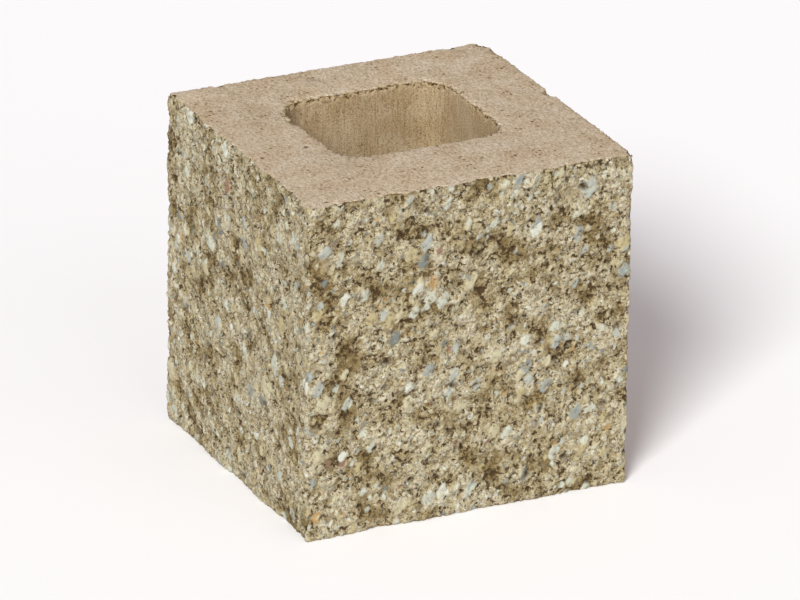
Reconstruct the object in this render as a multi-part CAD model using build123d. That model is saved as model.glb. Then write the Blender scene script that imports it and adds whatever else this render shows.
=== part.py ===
from build123d import *
import math
import os

# Split-faced concrete fence block, cast in one piece with a tapered core through it.
# Millimetres, +Z up. X runs along the front split face, Y from that face to the back,
# and the origin is the middle of the bottom face.

# Outside of the block
face_length = 200.0
block_depth = 190.0
block_height = 200.0

# Walls round the core, measured at the top face, where the core is widest
front_wall = 59.0
back_wall = 41.0
left_wall = 49.0
right_wall = 49.0

# The core former draws out upwards, so the hole narrows towards the bottom.
# Its corners are rounded, and the pressed concrete rolls over a little at the rim.
core_corner_radius = 18.0
core_draft_degrees = 1.5
core_rim_radius = 1.5

# The mould rounds the back upright corner. The other three are left sharp by the break.
mould_corner_radius = 4.0

# The front and left sides are split off a wider cast, and the break runs through it in waves. On
# each side the highest crest reaches the outside of the block, and hollows lie up to this deep.
split_waste = 15.0
break_depth = 2.8
longest_wave = 64.0
wave_count = 5
break_point_spacing = 6.0
break_tolerance = 0.05

# Each wave is shorter and shallower than the one before by this ratio, and is turned by the golden
# angle from it, so that the pattern doesn't repeat.
wave_ratio = 0.77
wave_turn = math.radians(137.5)

# The highest crest of each split side: its place across the side from the middle, and its height
front_crest_across = 38.0
front_crest_height = 128.0
left_crest_across = -31.0
left_crest_height = 82.0


def cast_body():
    """The cast before it is split: waste on the front and left, the back corner rounded."""
    plan = Rectangle(face_length + split_waste, block_depth + split_waste)
    plan = Pos(-split_waste / 2, -split_waste / 2) * plan
    back_corner = plan.vertices().sort_by(Axis((0, 0, 0), (1, 1, 0)))[-1]
    return extrude(fillet(back_corner, mould_corner_radius), block_height)


def core_former():
    """The tapered plug of the mould, drawn from the top face down to the bottom face."""
    length = face_length - left_wall - right_wall
    depth = block_depth - front_wall - back_wall
    middle = Pos((left_wall - right_wall) / 2, (front_wall - back_wall) / 2, block_height)
    section = middle * RectangleRounded(length, depth, core_corner_radius)
    return extrude(section, -block_height, taper=core_draft_degrees)


def break_hollow(across, up):
    """How far the break lies inside the outside of the block, at a place measured from its crest."""
    hollow = 0.0
    whole = 0.0
    for number in range(wave_count):
        share = wave_ratio**number
        heading = wave_turn * number
        run = across * math.cos(heading) + up * math.sin(heading)
        hollow += share * (1 - math.cos(2 * math.pi * run / (longest_wave * share))) / 2
        whole += share
    return break_depth * hollow / whole


def spaced(start, end):
    """Places about a point spacing apart, with both ends."""
    count = math.ceil((end - start) / break_point_spacing)
    return [start + (end - start) * number / count for number in range(count + 1)]


def break_surface(side, width, crest_across, crest_height):
    """The wavy surface of the break behind a flat side, wide enough to cut the whole cast."""
    reach = width / 2 + 2 * split_waste
    rows = []
    for up in spaced(-split_waste, block_height + split_waste):
        row = []
        for across in spaced(-reach, reach):
            hollow = break_hollow(across - crest_across, up - crest_height)
            row.append(side.from_local_coords(Vector(across, up, -hollow)))
        rows.append(row)
    return Face.make_surface_from_array_of_points(rows, tol=break_tolerance)


def split_off(block, surface):
    """The block without the waste on the far side of the break."""
    pieces = block.split(surface, keep=Keep.ALL)
    return max(pieces, key=lambda piece: piece.volume)


def fence_block():
    """The cast with its core, split on two sides, and the top rim of the core rounded."""
    block = (cast_body() - core_former()).solid()
    front = Plane((0, -block_depth / 2, 0), x_dir=(1, 0, 0), z_dir=(0, -1, 0))
    left = Plane((-face_length / 2, 0, 0), x_dir=(0, -1, 0), z_dir=(-1, 0, 0))
    block = split_off(block, break_surface(front, face_length, front_crest_across, front_crest_height))
    block = split_off(block, break_surface(left, block_depth, left_crest_across, left_crest_height))
    top_face = block.faces().sort_by(Axis.Z)[-1]
    rim = top_face.inner_wires()[0].edges()
    return block.fillet(core_rim_radius, rim)


os.makedirs("parts", exist_ok=True)
export_step(fence_block(), "parts/fence_block.step")
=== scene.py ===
import math

import bpy
import numpy as np
from mathutils import Matrix, Vector


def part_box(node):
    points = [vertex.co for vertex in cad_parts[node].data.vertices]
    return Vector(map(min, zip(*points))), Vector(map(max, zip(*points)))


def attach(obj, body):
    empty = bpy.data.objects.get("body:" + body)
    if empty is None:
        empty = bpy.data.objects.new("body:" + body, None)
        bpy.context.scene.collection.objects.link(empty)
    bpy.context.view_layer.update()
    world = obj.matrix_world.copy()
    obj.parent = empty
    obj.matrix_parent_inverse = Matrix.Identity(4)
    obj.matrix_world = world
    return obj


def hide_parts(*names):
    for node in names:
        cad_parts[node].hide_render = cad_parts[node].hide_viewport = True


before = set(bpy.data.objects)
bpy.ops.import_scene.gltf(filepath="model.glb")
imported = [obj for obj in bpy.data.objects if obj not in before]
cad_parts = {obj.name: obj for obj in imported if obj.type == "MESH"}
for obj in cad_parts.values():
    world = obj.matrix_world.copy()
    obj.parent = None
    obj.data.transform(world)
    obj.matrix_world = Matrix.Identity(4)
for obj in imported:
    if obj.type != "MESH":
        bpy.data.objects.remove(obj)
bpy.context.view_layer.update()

# The block: semi-dry concrete, vibro-pressed in a steel mould round a tapered core former and
# cured as one piece. It starts as the moulded shape, before the blades split its front and left.
MM = 0.001
low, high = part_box("fence_block")
block_size = high - low
mould_corner = 4 * MM
core_corner = 18 * MM
core_draft = math.radians(1.5)
front_wall, back_wall, side_wall = 59 * MM, 41 * MM, 49 * MM
core_low = Vector((low.x + side_wall, low.y + front_wall, low.z))
core_high = Vector((high.x - side_wall, high.y - back_wall, high.z))
core_size = core_high - core_low


def add_box(name, corner, opposite):
    """A box between two corners, with its place in its mesh."""
    bpy.ops.object.select_all(action="DESELECT")
    bpy.ops.mesh.primitive_cube_add(size=1, location=(corner + opposite) / 2, scale=opposite - corner)
    box = bpy.context.object
    box.name = name
    bpy.ops.object.transform_apply(location=True, rotation=True, scale=True)
    return box


def round_upright_edges(box, radius, segments, only_at=None):
    """Bevels the upright edges of a box, or only the one at a corner."""
    bpy.ops.object.mode_set(mode="EDIT")
    bpy.ops.mesh.select_mode(type="EDGE")
    bpy.ops.mesh.select_all(action="DESELECT")
    bpy.ops.object.mode_set(mode="OBJECT")
    for edge in box.data.edges:
        start, end = (box.data.vertices[i].co for i in edge.vertices)
        upright = (start - end).xy.length < MM
        chosen = only_at is None or (start - only_at).xy.length < MM
        edge.select = upright and chosen
    bpy.ops.object.mode_set(mode="EDIT")
    bpy.ops.mesh.bevel(offset=radius, segments=segments, affect="EDGES")
    bpy.ops.object.mode_set(mode="OBJECT")


block = add_box("cast_block", low, high)
round_upright_edges(block, mould_corner, 4, only_at=high)

past = Vector((0, 0, 10 * MM))
former = add_box("core_former", core_low - past, core_high + past)
round_upright_edges(former, core_corner, 8)
bpy.ops.object.mode_set(mode="EDIT")
bpy.ops.mesh.select_mode(type="VERT")
bpy.ops.mesh.select_all(action="DESELECT")
bpy.ops.object.mode_set(mode="OBJECT")
for vertex in former.data.vertices:
    vertex.select = vertex.co.z < low.z
draw_in = (block_size.z + past.z) * math.tan(core_draft)
core_foot = (core_low + core_high) / 2
core_foot.z = low.z - past.z
bpy.ops.object.mode_set(mode="EDIT")
bpy.ops.transform.resize(
    value=(1 - 2 * draw_in / core_size.x, 1 - 2 * draw_in / core_size.y, 1),
    center_override=core_foot,
)
bpy.ops.object.mode_set(mode="OBJECT")

bpy.ops.object.select_all(action="DESELECT")
block.select_set(True)
bpy.context.view_layer.objects.active = block
core_cut = block.modifiers.new("core", "BOOLEAN")
core_cut.operation = "DIFFERENCE"
core_cut.object = former
bpy.ops.object.modifier_apply(modifier=core_cut.name)
bpy.data.objects.remove(former)

grain = 1.0 * MM
even_mesh = block.modifiers.new("even_mesh", "REMESH")
even_mesh.mode = "VOXEL"
even_mesh.voxel_size = grain
bpy.ops.object.modifier_apply(modifier=even_mesh.name)


# The broken faces: the blades split the cured block, and the break runs through the sandy paste
# round most stones. It leaves stones standing, sockets of lost stones, pits and crumbly edges.
def add(tree, kind, links, **settings):
    """Adds a node with its settings, and links or sets its inputs, given by name or number."""
    node = tree.nodes.new(kind)
    for name, value in settings.items():
        setattr(node, name, value)
    for key, value in links.items():
        if isinstance(value, bpy.types.Node):
            value = next(output for output in value.outputs if output.enabled)
        if isinstance(value, bpy.types.NodeSocket):
            tree.links.new(value, node.inputs[key])
        else:
            node.inputs[key].default_value = value
    return node


# Stones and holes of the break: spacing and largest radius in millimetres, and the share of the
# places on that spacing that have one. Stones are long one way, and lie along the slope of the mix:
# their width is the slimness times their length. Their corners are a little rounded.
stone_kinds = {"large": (14.0, 5.8, 0.7), "medium": (7.5, 4.4, 0.7), "small": (4.0, 2.4, 0.55)}
hole_kinds = {"socket": (22.0, 9.0, 0.5), "pit": (8.0, 3.6, 0.5)}
crumb_spacing = 1.9
stone_slimness = 0.55
stone_edge, stone_roundness = 0.8, 1.4
lie = Vector((0.5, 0.35, 0.8)).normalized() * math.sqrt(1 - stone_slimness)


def wandering(tree, place, size, amount):
    """A place moved about at random, so that what is drawn there gets ragged outlines."""
    wander = add(tree, "ShaderNodeTexNoise", {"Vector": place, "Scale": 1 / size, "Detail": 4.0})
    return add(tree, "ShaderNodeVectorMath", {
        0: wander.outputs["Color"], 1: (amount, amount, amount), 2: place}, operation="MULTIPLY_ADD")


def scattered(tree, place, spacing, radius, share, soft, roundness=2.0):
    """Spots at random places: how far inside one a place is, from 0 to 1, and its dice, three random
    numbers. They are round at a roundness of 2, and the nearer it is to 1 the more angular."""
    cells = add(tree, "ShaderNodeTexVoronoi", {
        "Vector": place, "Scale": 1 / spacing, "Exponent": roundness}, distance="MINKOWSKI")
    dice = add(tree, "ShaderNodeSeparateXYZ", {0: cells.outputs["Color"]})
    reach = add(tree, "ShaderNodeMapRange", {
        0: dice.outputs[0], 1: 1 - share, 2: 1.0, 3: 0.0, 4: radius / spacing})
    inside = add(tree, "ShaderNodeMath", {0: reach, 1: cells.outputs["Distance"]}, operation="SUBTRACT")
    spot = add(tree, "ShaderNodeMapRange", {0: inside, 1: 0.0, 2: soft / spacing, 3: 0.0, 4: 1.0})
    return spot, dice


def broken_face(tree, place):
    """The fields of the break at a place in millimetres: crumbs, pores, sand, lumps and clods of paste,
    and each kind of stone and hole."""
    bent = wandering(tree, place, 3.5, 5.0)
    chipped = wandering(tree, place, 4.0, 2.5)
    lean = add(tree, "ShaderNodeVectorMath", {0: chipped, 1: lie}, operation="DOT_PRODUCT")
    drawn_out = add(tree, "ShaderNodeVectorMath", {
        0: lie, "Scale": lean.outputs["Value"]}, operation="SCALE")
    lying = add(tree, "ShaderNodeVectorMath", {0: chipped, 1: drawn_out}, operation="SUBTRACT")
    crumbs = add(tree, "ShaderNodeTexVoronoi", {"Vector": bent, "Scale": 1 / crumb_spacing})
    fields = {
        "crumb": crumbs.outputs["Distance"],
        "crumb dice": add(tree, "ShaderNodeSeparateXYZ", {0: crumbs.outputs["Color"]}),
        "pores": add(tree, "ShaderNodeTexNoise", {
            "Vector": place, "Scale": 1 / 3.0, "Detail": 3.0, "Roughness": 0.65}).outputs[0],
        "sand": add(tree, "ShaderNodeTexNoise", {
            "Vector": place, "Scale": 1 / 3.4, "Detail": 4.0, "Roughness": 0.62}).outputs[0],
        "lumps": add(tree, "ShaderNodeTexNoise", {
            "Vector": place, "Scale": 1 / 14.0, "Detail": 2.0, "Roughness": 0.5}).outputs[0],
        "clods": add(tree, "ShaderNodeTexNoise", {
            "Vector": bent, "Scale": 1 / 7.0, "Detail": 2.0, "Roughness": 0.5}).outputs[0],
    }
    for name, (spacing, radius, share) in stone_kinds.items():
        fields[name], fields[name + " dice"] = scattered(
            tree, lying, spacing, radius, share, stone_edge, stone_roundness)
    for name, (spacing, radius, share) in hole_kinds.items():
        fields[name] = scattered(tree, bent, spacing, radius, share, radius * 0.7)[0]
    return fields


# The break's waves, as in the solid: the deepest hollow, the longest wave, how much shorter and
# shallower each next wave is, and the turn from one to the next. No place is shallower than the least.
wave_depth, longest_wave, wave_ratio, wave_count = 2.8, 64.0, 0.77, 5
wave_turn = math.radians(137.5)
least_depth = 0.05
wave_shares = [wave_ratio**number for number in range(wave_count)]


def break_depth(tree, place, crest, across):
    """How far the break lies inside the flat face, in millimetres: its waves, and the texture on them."""
    from_crest = add(tree, "ShaderNodeVectorMath", {0: place, 1: crest}, operation="SUBTRACT")
    depth = wave_depth / 2
    for number, share in enumerate(wave_shares):
        heading = across * math.cos(wave_turn * number) + Vector((0, 0, math.sin(wave_turn * number)))
        run = add(tree, "ShaderNodeVectorMath", {
            0: from_crest, 1: heading * (2 * math.pi / (longest_wave * share))}, operation="DOT_PRODUCT")
        wave = add(tree, "ShaderNodeMath", {0: run.outputs["Value"]}, operation="COSINE")
        height = -wave_depth / 2 * share / sum(wave_shares)
        depth = add(tree, "ShaderNodeMath", {0: wave, 1: height, 2: depth}, operation="MULTIPLY_ADD")
    fields = broken_face(tree, place)
    standing = add(tree, "ShaderNodeMath", {0: fields["large"], 1: fields["medium"]}, operation="MAXIMUM")
    clean = add(tree, "ShaderNodeMapRange", {0: standing, 1: 0.0, 2: 1.0, 3: 1.0, 4: 0.4})
    for name, start, end, least, most in (
        ("sand", 0.62, 0.32, -0.45, 0.6),
        ("pores", 0.50, 0.36, -0.2, 0.8),
    ):
        part = add(tree, "ShaderNodeMapRange", {0: fields[name], 1: start, 2: end, 3: least, 4: most})
        depth = add(tree, "ShaderNodeMath", {0: part, 1: clean, 2: depth}, operation="MULTIPLY_ADD")
    for name, start, end, least, most in (
        ("lumps", 0.70, 0.30, -0.4, 0.4),
        ("clods", 0.65, 0.35, -0.3, 0.4),
        ("socket", 0.0, 1.0, -0.1, 1.2),
        ("pit", 0.0, 1.0, -0.1, 1.8),
        ("large", 0.0, 1.0, 0.1, -0.8),
        ("medium", 0.0, 1.0, 0.1, -0.5),
    ):
        part = add(tree, "ShaderNodeMapRange", {0: fields[name], 1: start, 2: end, 3: least, 4: most})
        depth = add(tree, "ShaderNodeMath", {0: depth, 1: part}, operation="ADD")
    return add(tree, "ShaderNodeMath", {0: depth, 1: least_depth}, operation="MAXIMUM")


relief = bpy.data.node_groups.new("break_and_wear", "GeometryNodeTree")
relief.interface.new_socket("Geometry", in_out="INPUT", socket_type="NodeSocketGeometry")
relief.interface.new_socket("Geometry", in_out="OUTPUT", socket_type="NodeSocketGeometry")
source = add(relief, "NodeGroupInput", {})
position = add(relief, "GeometryNodeInputPosition", {})
place = add(relief, "ShaderNodeVectorMath", {0: position, "Scale": 1 / MM}, operation="SCALE")
along = add(relief, "ShaderNodeSeparateXYZ", {0: place})

# How far each place is from the six outer faces and the core wall, and so from the nearest edge:
# on a face the least distance is nought, and the next one is the distance to its edge.
low_mm, high_mm = low / MM, high / MM
distances = []
for axis in range(3):
    for start, end in ((low_mm[axis], high_mm[axis]), (high_mm[axis], low_mm[axis])):
        distances.append(add(relief, "ShaderNodeMapRange", {
            0: along.outputs[axis], 1: start, 2: end, 3: 0.0, 4: abs(end - start)}))
core_middle = (core_low + core_high) / 2 / MM
corner_middle = (core_size / 2 - Vector((core_corner, core_corner, 0))) / MM
draft_slope = math.tan(core_draft)
out_of_reach = 1000
from_middle = add(relief, "ShaderNodeVectorMath", {
    0: place, 1: (core_middle.x, core_middle.y, 0)}, operation="SUBTRACT")
mirrored = add(relief, "ShaderNodeVectorMath", {0: from_middle}, operation="ABSOLUTE")
draw = add(relief, "ShaderNodeMath", {
    0: along.outputs[2], 1: -draft_slope, 2: high_mm.z * draft_slope}, operation="MULTIPLY_ADD")
widened = add(relief, "ShaderNodeVectorMath", {0: mirrored, 1: draw}, operation="ADD")
past_corner = add(relief, "ShaderNodeVectorMath", {
    0: widened, 1: (corner_middle.x, corner_middle.y, out_of_reach)}, operation="SUBTRACT")
outside = add(relief, "ShaderNodeVectorMath", {0: past_corner, 1: (0, 0, 0)}, operation="MAXIMUM")
corner_reach = add(relief, "ShaderNodeVectorMath", {0: outside}, operation="LENGTH")
core_gap = add(relief, "ShaderNodeMath", {
    0: corner_reach.outputs["Value"], 1: core_corner / MM}, operation="SUBTRACT")
distances.append(add(relief, "ShaderNodeMath", {0: core_gap, 1: 0.0}, operation="MAXIMUM"))
least, edge = distances[0], None
for distance in distances[1:]:
    larger = add(relief, "ShaderNodeMath", {0: least, 1: distance}, operation="MAXIMUM")
    least = add(relief, "ShaderNodeMath", {0: least, 1: distance}, operation="MINIMUM")
    if edge is None:
        edge = larger
    else:
        edge = add(relief, "ShaderNodeMath", {0: edge, 1: larger}, operation="MINIMUM")

# The break of each split face moves it inwards, and fades out behind the face. Each has its highest
# crest at a place of its own, as in the solid, and its waves are measured across the face from there.
fade_mm = 13.0
moves = []
for axis, inner, crest, across in (
    (0, distances[0], (low_mm.x, 31.0, 82.0), Vector((0, -1, 0))),
    (1, distances[2], (38.0, low_mm.y, 128.0), Vector((1, 0, 0))),
):
    on_face = [along.outputs[i] for i in range(3)]
    on_face[axis] = low_mm[axis]
    flat_place = add(relief, "ShaderNodeCombineXYZ", dict(enumerate(on_face)))
    fade = add(relief, "ShaderNodeMapRange", {0: inner, 1: 0.0, 2: fade_mm, 3: 1.0, 4: 0.0},
               interpolation_type="SMOOTHSTEP")
    depth = break_depth(relief, flat_place, crest, across)
    moves.append(add(relief, "ShaderNodeMath", {0: depth, 1: fade}, operation="MULTIPLY"))
break_move = add(relief, "ShaderNodeCombineXYZ", {0: moves[0], 1: moves[1]})

# Edges lose sand all along, most at the back and right of the core's rim, and a flake here and there.
# Three chips are off the top edges, given by middle, radius and depth.
crumbs = add(relief, "ShaderNodeTexNoise", {
    "Vector": place, "Scale": 1 / 2.6, "Detail": 3.0, "Roughness": 0.65})
flakes = add(relief, "ShaderNodeTexNoise", {
    "Vector": place, "Scale": 1 / 17.0, "Detail": 3.0, "Roughness": 0.55})
crumb_depth = add(relief, "ShaderNodeMapRange", {0: crumbs, 1: 0.38, 2: 0.70, 3: 0.1, 4: 1.2})
back_rim = add(relief, "ShaderNodeMapRange", {
    0: along.outputs[1], 1: core_high.y / MM - 14, 2: core_high.y / MM - 4, 3: 1.6, 4: 2.8})
right_rim = add(relief, "ShaderNodeMapRange", {
    0: along.outputs[0], 1: core_high.x / MM - 14, 2: core_high.x / MM - 4, 3: 1.6, 4: 2.4})
rim = add(relief, "ShaderNodeMath", {0: back_rim, 1: right_rim}, operation="MAXIMUM")
at_core = add(relief, "ShaderNodeMapRange", {0: distances[6], 1: 4.0, 2: 9.0, 3: rim, 4: 1.0})
crumb_depth = add(relief, "ShaderNodeMath", {0: crumb_depth, 1: at_core}, operation="MULTIPLY")
flake_depth = add(relief, "ShaderNodeMapRange", {0: flakes, 1: 0.59, 2: 0.76, 3: 0.0, 4: 2.6})
wear_depth = add(relief, "ShaderNodeMath", {0: crumb_depth, 1: flake_depth}, operation="ADD")
wear_reach = add(relief, "ShaderNodeMath", {0: wear_depth, 1: 1.8, 2: 0.6}, operation="MULTIPLY_ADD")
wear_share = add(relief, "ShaderNodeMath", {0: edge, 1: wear_reach}, operation="DIVIDE")
wear_fade = add(relief, "ShaderNodeMapRange", {0: wear_share, 1: 0.0, 2: 1.0, 3: 1.0, 4: 0.0})
wear = add(relief, "ShaderNodeMath", {0: wear_depth, 1: wear_fade}, operation="MULTIPLY")
for middle, radius, depth in (
    ((low_mm.x, low_mm.y + 5, high_mm.z), 7.0, 0.5),
    ((high_mm.x, high_mm.y - 3, high_mm.z), 7.0, 2.2),
    ((high_mm.x, 9.0, high_mm.z), 6.0, 1.6),
):
    reach = add(relief, "ShaderNodeVectorMath", {0: place, 1: middle}, operation="DISTANCE")
    chip = add(relief, "ShaderNodeMapRange", {
        0: reach.outputs["Value"], 1: radius, 2: radius * 0.5, 3: 0.0, 4: depth})
    wear = add(relief, "ShaderNodeMath", {0: wear, 1: chip}, operation="ADD")
voids = scattered(relief, wandering(relief, place, 2.0, 2.0), 12.0, 2.0, 0.4, 1.2)[0]
off_split = add(relief, "ShaderNodeMath", {0: distances[0], 1: distances[2]}, operation="MINIMUM")
off_split = add(relief, "ShaderNodeMapRange", {0: off_split, 1: 3.0, 2: 6.0, 3: 0.0, 4: 1.1})
voids = add(relief, "ShaderNodeMath", {0: voids, 1: off_split}, operation="MULTIPLY")
hollow = add(relief, "ShaderNodeMath", {0: wear, 1: voids}, operation="ADD")
inward = add(relief, "ShaderNodeMath", {0: hollow, 1: -1.0}, operation="MULTIPLY")
normal = add(relief, "GeometryNodeInputNormal", {})
wear_move = add(relief, "ShaderNodeVectorMath", {0: normal, "Scale": inward}, operation="SCALE")

move_mm = add(relief, "ShaderNodeVectorMath", {0: break_move, 1: wear_move}, operation="ADD")
move = add(relief, "ShaderNodeVectorMath", {0: move_mm, "Scale": MM}, operation="SCALE")
kept_place = add(relief, "GeometryNodeStoreNamedAttribute", {
    "Geometry": source, "Name": "mould_place", "Value": place}, data_type="FLOAT_VECTOR", domain="POINT")
kept_wear = add(relief, "GeometryNodeStoreNamedAttribute", {
    "Geometry": kept_place, "Name": "edge_wear", "Value": wear}, data_type="FLOAT", domain="POINT")
moved = add(relief, "GeometryNodeSetPosition", {"Geometry": kept_wear, "Offset": move})
add(relief, "NodeGroupOutput", {0: moved})
break_and_wear = block.modifiers.new("break_and_wear", "NODES")
break_and_wear.node_group = relief
bpy.ops.object.modifier_apply(modifier=break_and_wear.name)

most_triangles = 196_000
thin_out = block.modifiers.new("thin_out", "DECIMATE")
thin_out.ratio = most_triangles / (2 * len(block.data.polygons))
thin_out.use_collapse_triangulate = True
bpy.ops.object.modifier_apply(modifier=thin_out.name)
bpy.ops.object.shade_smooth()


def linear(code):
    """A hex colour as seen on screen, as linear light with alpha."""
    channels = [int(code[i:i + 2], 16) / 255 for i in (1, 3, 5)]
    return tuple(c / 12.92 if c <= 0.04045 else ((c + 0.055) / 1.055) ** 2.4 for c in channels) + (1.0,)


def new_concrete(name):
    """A matt material with an empty tree, its shader, and the place on the cast block in millimetres."""
    material = bpy.data.materials.new(name)
    material.use_nodes = True
    tree = material.node_tree
    tree.nodes.clear()
    shader = add(tree, "ShaderNodeBsdfPrincipled", {"Roughness": 0.92, "Specular IOR Level": 0.25})
    add(tree, "ShaderNodeOutputMaterial", {"Surface": shader})
    place = add(tree, "ShaderNodeAttribute", {}, attribute_name="cast_place").outputs["Vector"]
    return material, tree, shader, place


def add_ramp(tree, value, stops, interpolation="LINEAR"):
    """A colour for each step of a value, from stops of value and hex colour."""
    ramp = add(tree, "ShaderNodeValToRGB", {0: value})
    ramp.color_ramp.interpolation = interpolation
    elements = ramp.color_ramp.elements
    while len(elements) < len(stops):
        elements.new(1.0)
    for element, (at, code) in zip(elements, stops):
        element.position = at
        element.color = linear(code)
    return ramp.outputs[0]


def mixed(tree, share, first, second, blend="MIX"):
    """Two colours mixed by a share from 0 to 1."""
    return add(tree, "ShaderNodeMix", {0: share, 6: first, 7: second},
               data_type="RGBA", blend_type=blend).outputs[2]


# Split concrete: sandy cement paste torn open, so it is matt, smooth on its clods and gritty between
# them, with crevices and pits, and with standing stones of limestone, quartz, slate and flint. Shade is
# painted between its grains, crumbs and clods and in its crevices, sockets and pits.
split, tree, shader, place = new_concrete("split_concrete")
fields = broken_face(tree, place)
fine = add(tree, "ShaderNodeTexNoise", {
    "Vector": place, "Scale": 1 / 0.9, "Detail": 4.0, "Roughness": 0.85})
sand_part = add(tree, "ShaderNodeMath", {0: fields["sand"], 1: 0.45}, operation="MULTIPLY")
paste = add(tree, "ShaderNodeMath", {0: fine.outputs[0], 1: 0.55, 2: sand_part}, operation="MULTIPLY_ADD")
colour = add_ramp(tree, paste, (
    (0.36, "#7b6947"), (0.43, "#b8aa86"), (0.49, "#cfc5a8"), (0.57, "#d5ceb8"), (0.66, "#d9d3c1")))
grain_tone = add_ramp(tree, fields["crumb dice"].outputs[0], ((0.0, "#e4dfd4"), (0.5, "#ffffff")))
colour = mixed(tree, 1.0, colour, grain_tone, "MULTIPLY")
# Painted shade: dark gaps between the sand grains, heaviest in the gritty paste between the clods.
grain_gap_pattern = add(tree, "ShaderNodeTexNoise", {
    "Vector": place, "Scale": 1 / 0.75, "Detail": 3.0, "Roughness": 0.8})
grain_gap_shade = add_ramp(tree, grain_gap_pattern.outputs[0], ((0.35, "#554629"), (0.46, "#eee8da"), (0.58, "#ffffff")))
between_clods_shade_share = add(tree, "ShaderNodeMapRange", {0: fields["clods"], 1: 0.44, 2: 0.58, 3: 1.0, 4: 0.3})
colour = mixed(tree, between_clods_shade_share, colour, grain_gap_shade, "MULTIPLY")
fleck = add(tree, "ShaderNodeMapRange", {
    0: fields["crumb dice"].outputs[1], 1: 0.88, 2: 0.90, 3: 0.0, 4: 0.7})
fleck_tone = add_ramp(tree, fields["crumb dice"].outputs[2], (
    (0.0, "#dcdcd0"), (0.35, "#a9aea6"), (0.6, "#7d8686"), (0.75, "#6a5638"), (0.93, "#ad8752"),
    (0.97, "#8a6450")), "CONSTANT")
colour = mixed(tree, fleck, colour, fleck_tone)
# Darker in broad patches and in the hollows of the lumps: partly the paste's own tone, partly painted
# shade.
cloud = add(tree, "ShaderNodeTexNoise", {"Vector": place, "Scale": 1 / 22.0, "Detail": 3.0})
shadowed = add(tree, "ShaderNodeMath", {0: cloud.outputs[0], 1: fields["lumps"]}, operation="ADD")
shadowed = add(tree, "ShaderNodeMath", {0: shadowed, 1: 0.5}, operation="MULTIPLY")
broad_tone_and_shade = add_ramp(tree, shadowed, ((0.38, "#bbad8d"), (0.47, "#efeadd"), (0.55, "#ffffff")))
colour = mixed(tree, 1.0, colour, broad_tone_and_shade, "MULTIPLY")
# Painted shade in the gaps between crumbs.
crumb_gap_shade = add(tree, "ShaderNodeMapRange", {0: fields["crumb"], 1: 0.58, 2: 0.76, 3: 0.0, 4: 0.4})
colour = mixed(tree, crumb_gap_shade, colour, linear("#5e4a2c"))
# Painted shadows: small dark spots, as if under crumbs, in the gritty paste between the clods.
crumb_shadow_noise = add(tree, "ShaderNodeTexNoise", {
    "Vector": place, "Scale": 1 / 1.7, "Detail": 2.0, "Roughness": 0.6})
crumb_shadow_share = add(tree, "ShaderNodeMapRange", {0: crumb_shadow_noise.outputs[0], 1: 0.42, 2: 0.35, 3: 0.0, 4: 0.9})
crumb_shadow_share = add(tree, "ShaderNodeMath", {0: crumb_shadow_share, 1: between_clods_shade_share}, operation="MULTIPLY")
colour = mixed(tree, crumb_shadow_share, colour, linear("#54411f"))
crevice = add(tree, "ShaderNodeMath", {
    0: cloud.outputs[0], 1: 0.20, 2: fields["pores"]}, operation="MULTIPLY_ADD")
crevice = add(tree, "ShaderNodeMath", {0: fields["lumps"], 1: 0.25, 2: crevice}, operation="MULTIPLY_ADD")
# Painted shade between the clods.
between = add(tree, "ShaderNodeMapRange", {0: fields["clods"], 1: 0.44, 2: 0.33, 3: 0.0, 4: 0.5})
colour = mixed(tree, between, colour, linear("#7a6642"))
# Painted shade in the crevices.
crevice_shade_share = add(tree, "ShaderNodeMapRange", {0: crevice, 1: 0.675, 2: 0.600, 3: 0.0, 4: 1.0})
colour = mixed(tree, crevice_shade_share, colour, linear("#4d3b22"))
# Painted shade in the sockets of lost stones.
colour = mixed(tree, fields["socket"], colour, mixed(tree, 0.45, linear("#8c774f"), colour))
stone_tones = (
    (0.00, "#c7c8ba"), (0.12, "#bbbdad"), (0.30, "#bbb293"), (0.52, "#a8aba1"), (0.66, "#90958f"),
    (0.74, "#747974"), (0.80, "#b0a27b"), (0.95, "#ae8d5c"), (0.98, "#8a6857"))
stones = 0.0
for name in stone_kinds:
    tone = add_ramp(tree, fields[name + " dice"].outputs[1], stone_tones, "CONSTANT")
    shade = add(tree, "ShaderNodeMapRange", {0: fine.outputs[0], 1: 0.3, 2: 0.7, 3: 0.88, 4: 1.06})
    tone = add(tree, "ShaderNodeVectorMath", {0: tone, "Scale": shade}, operation="SCALE")
    covered = add(tree, "ShaderNodeMapRange", {0: fields["sand"], 1: 0.36, 2: 0.50, 3: 0.25, 4: 0.95})
    bare = add(tree, "ShaderNodeMath", {0: fields[name], 1: covered}, operation="MULTIPLY")
    colour = mixed(tree, bare, colour, tone)
    stones = add(tree, "ShaderNodeMath", {0: stones, 1: bare}, operation="MAXIMUM")
# Painted shade in the pits.
colour = mixed(tree, fields["pit"], colour, linear("#43321c"))
tree.links.new(colour, shader.inputs["Base Color"])
rough_height = add(tree, "ShaderNodeMath", {0: fields["pores"], 1: paste}, operation="ADD")
rough_height = add(tree, "ShaderNodeMath", {
    0: fields["clods"], 1: 3.0, 2: rough_height}, operation="MULTIPLY_ADD")
bump_strength = add(tree, "ShaderNodeMapRange", {0: stones, 1: 0.0, 2: 1.0, 3: 1.0, 4: 0.45})
bumps = add(tree, "ShaderNodeBump", {
    "Height": rough_height, "Distance": 1.5 * MM, "Strength": bump_strength})
tree.links.new(bumps.outputs[0], shader.inputs["Normal"])


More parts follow.
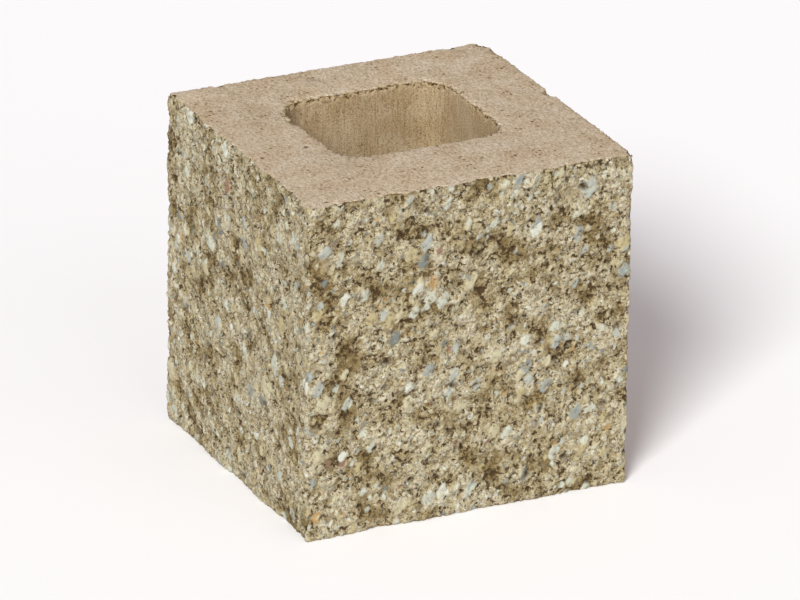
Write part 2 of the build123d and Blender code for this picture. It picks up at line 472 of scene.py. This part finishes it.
def torn(tree, place, colour):
    """The colour with crumbled edges and chips showing the sandy inside."""
    wear = add(tree, "ShaderNodeAttribute", {}, attribute_name="edge_wear").outputs["Fac"]
    share = add(tree, "ShaderNodeMapRange", {0: wear, 1: 0.3, 2: 1.0, 3: 0.0, 4: 1.0})
    sand = add(tree, "ShaderNodeTexNoise", {
        "Vector": place, "Scale": 1 / 2.2, "Detail": 3.0, "Roughness": 0.7})
    sand_tone = add_ramp(tree, sand.outputs[0], (
        (0.40, "#463319"), (0.47, "#866f4b"), (0.56, "#a8946f"), (0.68, "#c2b292")))
    return mixed(tree, share, colour, sand_tone)


# Pressed concrete: the mould's shoe trowels the top face to a fine even skin with pin holes.
pressed, tree, shader, place = new_concrete("pressed_concrete")
struck = add(tree, "ShaderNodeVectorMath", {
    0: place, 1: (1 / 1.2, 1 / 2.2, 1 / 1.2)}, operation="MULTIPLY")
fine = add(tree, "ShaderNodeTexNoise", {"Vector": struck, "Scale": 1.0, "Detail": 5.0, "Roughness": 0.85})
colour = add_ramp(tree, fine.outputs[0], (
    (0.35, "#836d4b"), (0.44, "#b5a289"), (0.54, "#c8b7a0"), (0.64, "#e0d6c5")))
clusters = add(tree, "ShaderNodeTexNoise", {"Vector": place, "Scale": 1 / 20.0, "Detail": 3.0})
mottle = add_ramp(tree, clusters.outputs[0], ((0.35, "#ffffff"), (0.65, "#f2ece2")))
colour = mixed(tree, 1.0, colour, mottle, "MULTIPLY")
specks = scattered(tree, place, 2.6, 1.2, 0.45, 0.2)[0]
speck_share = add(tree, "ShaderNodeMapRange", {0: clusters.outputs[0], 1: 0.42, 2: 0.60, 3: 0.15, 4: 1.0})
specks = add(tree, "ShaderNodeMath", {0: specks, 1: speck_share}, operation="MULTIPLY")
colour = mixed(tree, specks, colour, linear("#725837"))
# Painted shade in the small voids of the skin.
pores = scattered(tree, wandering(tree, place, 2.0, 2.0), 12.0, 2.0, 0.4, 0.6)[0]
colour = mixed(tree, pores, colour, linear("#4a3820"))
smeared = add(tree, "ShaderNodeVectorMath", {0: place, 1: (1 / 16.0, 1 / 7.0, 1.0)}, operation="MULTIPLY")
wisps = add(tree, "ShaderNodeTexNoise", {
    "Vector": smeared, "Scale": 1.0, "Detail": 5.0, "Roughness": 0.65})
wisp_share = add(tree, "ShaderNodeMapRange", {0: wisps.outputs[0], 1: 0.56, 2: 0.66, 3: 0.0, 4: 0.3})
colour = mixed(tree, wisp_share, colour, linear("#cfc1aa"))
colour = torn(tree, place, colour)
tree.links.new(colour, shader.inputs["Base Color"])
bumps = add(tree, "ShaderNodeBump", {"Height": fine, "Distance": 0.4 * MM, "Strength": 0.7})
tree.links.new(bumps.outputs[0], shader.inputs["Normal"])

# Drawn and moulded concrete: the core former and the mould's walls are pulled off along the block,
# which leaves upright drag marks and small voids, with painted shade in the voids. The core's finish is
# painted a little darker than the outer sides', as painted shade in the hollow.
side_finishes = []
for name, tones, streaks, open_share in (
    ("drawn_concrete", ("#77634a", "#a58f70", "#b6a182", "#c5b398"), 0.3, 0.0),
    ("moulded_concrete", ("#7f6a4b", "#ac9a7b", "#bfae8f", "#cfc2a7"), 0.18, 0.75),
):
    finish, tree, shader, place = new_concrete(name)
    stretched = add(tree, "ShaderNodeVectorMath", {
        0: place, 1: (1 / 1.1, 1 / 1.1, 1 / 30.0)}, operation="MULTIPLY")
    marks = add(tree, "ShaderNodeTexNoise", {
        "Vector": stretched, "Scale": 1.0, "Detail": 4.0, "Roughness": 0.7})
    fine = add(tree, "ShaderNodeTexNoise", {
        "Vector": place, "Scale": 1 / 0.9, "Detail": 3.0, "Roughness": 0.75})
    tone = add(tree, "ShaderNodeMath", {
        0: marks.outputs[0], 1: streaks, 2: 0.2}, operation="MULTIPLY_ADD")
    tone = add(tree, "ShaderNodeMath", {
        0: fine.outputs[0], 1: 1 - streaks, 2: tone}, operation="MULTIPLY_ADD")
    colour = add_ramp(tree, tone, tuple(zip((0.56, 0.66, 0.73, 0.84), tones)))
    clusters = add(tree, "ShaderNodeTexNoise", {"Vector": place, "Scale": 1 / 18.0, "Detail": 3.0})
    mottle = add_ramp(tree, clusters.outputs[0], ((0.35, "#ffffff"), (0.65, "#ece5d8")))
    colour = mixed(tree, 1.0, colour, mottle, "MULTIPLY")
    specks = scattered(tree, wandering(tree, place, 1.2, 2.4), 2.4, 0.9, 0.4, 0.3)[0]
    up = add(tree, "ShaderNodeSeparateXYZ", {0: place}).outputs[2]
    near_rim = add(tree, "ShaderNodeMapRange", {0: up, 1: 180.0, 2: 197.0, 3: 0.0, 4: 0.2})
    crowd = add(tree, "ShaderNodeMath", {0: clusters.outputs[0], 1: near_rim}, operation="ADD")
    speck_share = add(tree, "ShaderNodeMapRange", {0: crowd, 1: 0.45, 2: 0.70, 3: 0.15, 4: 0.8})
    specks = add(tree, "ShaderNodeMath", {0: specks, 1: speck_share}, operation="MULTIPLY")
    colour = mixed(tree, specks, colour, linear("#5d4629"))
    grains = add(tree, "ShaderNodeTexNoise", {
        "Vector": place, "Scale": 1 / 2.2, "Detail": 3.0, "Roughness": 0.7})
    # Painted shade in the open pores of the moulded sides.
    open_pores = add(tree, "ShaderNodeMapRange", {
        0: grains.outputs[0], 1: 0.41, 2: 0.33, 3: 0.0, 4: open_share})
    colour = mixed(tree, open_pores, colour, linear("#5d4629"))
    # Painted shade in the small voids.
    pores = scattered(tree, wandering(tree, place, 2.0, 2.0), 12.0, 1.6, 0.4, 0.5)[0]
    colour = mixed(tree, pores, colour, linear("#4a3820"))
    colour = torn(tree, place, colour)
    tree.links.new(colour, shader.inputs["Base Color"])
    height = add(tree, "ShaderNodeMath", {0: open_pores, 1: -0.4, 2: tone}, operation="MULTIPLY_ADD")
    bumps = add(tree, "ShaderNodeBump", {"Height": height, "Distance": 0.6 * MM, "Strength": 0.7})
    tree.links.new(bumps.outputs[0], shader.inputs["Normal"])
    side_finishes.append(finish)

# Each face of the block wears the finish that the mould or the break gave it, and has its own
# flat panel in the block's UV map.
mesh = block.data
for material in (split, pressed, *side_finishes):
    mesh.materials.append(material)
places = np.empty(len(mesh.vertices) * 3, np.float32)
mesh.attributes["mould_place"].data.foreach_get("vector", places)
places = places.reshape(-1, 3)
corners = np.empty(len(mesh.loops), np.int32)
mesh.loops.foreach_get("vertex_index", corners)
triangles = places[corners].reshape(-1, 3, 3)
middles = triangles.mean(axis=1)
facing = np.cross(triangles[:, 1] - triangles[:, 0], triangles[:, 2] - triangles[:, 0])
main_axis = np.abs(facing).argmax(axis=1)
sign = np.sign(facing[np.arange(len(facing)), main_axis])
from_core = np.abs(middles - np.array(core_middle))
in_core = (from_core[:, 0] < core_size.x / 2 / MM + 1) & (from_core[:, 1] < core_size.y / 2 / MM + 1)
# Panels: axis and side that the face looks to, whether it is in the core, its two axes across and
# up, its corner and scale in the map, and its finish.
panels = (
    (1, -1, False, 0, 2, 0.005, 0.005, 0.00210, 0),
    (0, -1, False, 1, 2, 0.435, 0.005, 0.00210, 0),
    (2, 1, None, 0, 1, 0.005, 0.435, 0.00190, 1),
    (2, -1, None, 0, 1, 0.005, 0.806, 0.00095, 1),
    (1, 1, False, 0, 2, 0.395, 0.435, 0.00150, 3),
    (0, 1, False, 1, 2, 0.705, 0.435, 0.00150, 3),
    (1, -1, True, 0, 2, 0.395, 0.745, 0.00120, 2),
    (1, 1, True, 0, 2, 0.527, 0.745, 0.00120, 2),
    (0, -1, True, 1, 2, 0.659, 0.745, 0.00120, 2),
    (0, 1, True, 1, 2, 0.777, 0.745, 0.00120, 2),
)
moved_places = np.empty(len(mesh.vertices) * 3, np.float32)
mesh.vertices.foreach_get("co", moved_places)
moved_places = np.clip(moved_places.reshape(-1, 3), low, high)
mesh.vertices.foreach_set("co", moved_places.ravel())
pattern_places = moved_places[corners].reshape(-1, 3, 3) / MM
finish = np.zeros(len(triangles), np.int32)
chart = np.zeros((len(triangles), 3, 2), np.float32)
for axis, side, cored, across, up, left, bottom, scale, kind in panels:
    here = (main_axis == axis) & (sign == side)
    if cored is not None:
        here &= in_core == cored
    start = (core_low if cored else low) / MM
    finish[here] = kind
    if kind == 0:
        pattern_places[here, :, axis] = low_mm[axis]
    chart[here, :, 0] = left + scale * (triangles[here][:, :, across] - start[across])
    chart[here, :, 1] = bottom + scale * (triangles[here][:, :, up] - start[up])
mesh.polygons.foreach_set("material_index", finish)
colour_map = mesh.uv_layers.new(name="OFBake")
colour_map.uv.foreach_set("vector", chart.ravel())
mesh.attributes.remove(mesh.attributes["mould_place"])
cast_place = mesh.attributes.new("cast_place", "FLOAT_VECTOR", "CORNER")
cast_place.data.foreach_set("vector", pattern_places.astype(np.float32).ravel())

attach(block, "root")
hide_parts("fence_block")

# The stage: a wide sheet of white paper, level under the block, which runs on out of sight and
# takes only the block's shadow.
bpy.ops.object.select_all(action="DESELECT")
bpy.ops.mesh.primitive_plane_add(size=12, location=(0, 2, low.z))
floor = bpy.context.object
floor.name = "studio_floor"
paper = bpy.data.materials.new("white_paper")
paper.use_nodes = True
paper_shader = paper.node_tree.nodes["Principled BSDF"]
paper_shader.inputs["Base Color"].default_value = linear("#faf8f9")
paper_shader.inputs["Roughness"].default_value = 0.9
paper_shader.inputs["Specular IOR Level"].default_value = 0.2
floor.data.materials.append(paper)


# Light: a large soft key from the front left, a weaker fill from the front, and a white surround
# that fills the shadows.
def add_far_light(name, toward, strength, softness, colour):
    """A light far off in a direction, as soft as its angle across is wide."""
    lamp = bpy.data.lights.new(name, "SUN")
    lamp.energy = strength
    lamp.color = colour
    lamp.angle = math.radians(softness)
    light = bpy.data.objects.new(name, lamp)
    bpy.context.collection.objects.link(light)
    light.rotation_euler = Vector(toward).to_track_quat("Z", "Y").to_euler()


add_far_light("key_light", (-0.56, -0.60, 0.60), 3.45, 20, (0.97, 1.0, 0.99))
add_far_light("fill_light", (0.20, -0.90, 0.40), 0.40, 50, (1.0, 1.0, 1.0))
world = bpy.data.worlds.new("white_surround")
world.use_nodes = True
world.node_tree.nodes["Background"].inputs["Color"].default_value = (1.0, 0.91, 0.93, 1)
world.node_tree.nodes["Background"].inputs["Strength"].default_value = 0.36
bpy.context.scene.world = world
bpy.context.scene.view_settings.view_transform = "Standard"

# Camera: a long lens from the front left, a little above, turned so that the block's upright edges
# and corners fall where they should.
lens_px = 8245
image_width_px = 800
azimuth, elevation, roll = math.radians(-26.06), math.radians(22.96), math.radians(0.80)
aim = Vector((1.1, -3.4, 93.9)) * MM
distance = 4.656
camera_data = bpy.data.cameras.new("camera")
camera_data.lens = lens_px / image_width_px * camera_data.sensor_width
camera = bpy.data.objects.new("camera", camera_data)
bpy.context.collection.objects.link(camera)
away = Vector((
    math.sin(azimuth) * math.cos(elevation),
    -math.cos(azimuth) * math.cos(elevation),
    math.sin(elevation),
))
turn = away.to_track_quat("Z", "Y").to_matrix().to_4x4() @ Matrix.Rotation(roll, 4, "Z")
camera.matrix_world = Matrix.Translation(aim + away * distance) @ turn
bpy.context.scene.camera = camera
